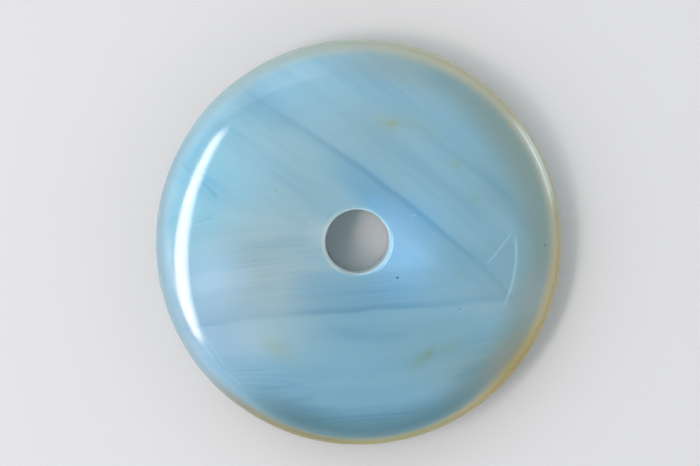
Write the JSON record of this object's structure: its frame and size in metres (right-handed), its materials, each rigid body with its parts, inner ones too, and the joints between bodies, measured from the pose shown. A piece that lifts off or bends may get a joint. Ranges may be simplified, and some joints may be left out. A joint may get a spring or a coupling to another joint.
{
  "type": "agate donut pendant",
  "caption": "Flat round pendant of polished, cloudy blue banded agate with a rounded rim and a cord hole through its middle.",
  "frame": {"origin": "on the surface that the pendant lies on, under the middle of the disc", "axes": "+Z out of the front face, through the disc's thickness; +X and +Y across the disc, to the right and up as the picture shows its front"},
  "size_m": [0.056, 0.056, 0.008],
  "materials": {
    "polished_agate": "polished"
  },
  "bodies": {
    "root": {"agate_donut": "polished_agate"}
  },
  "joints": []
}
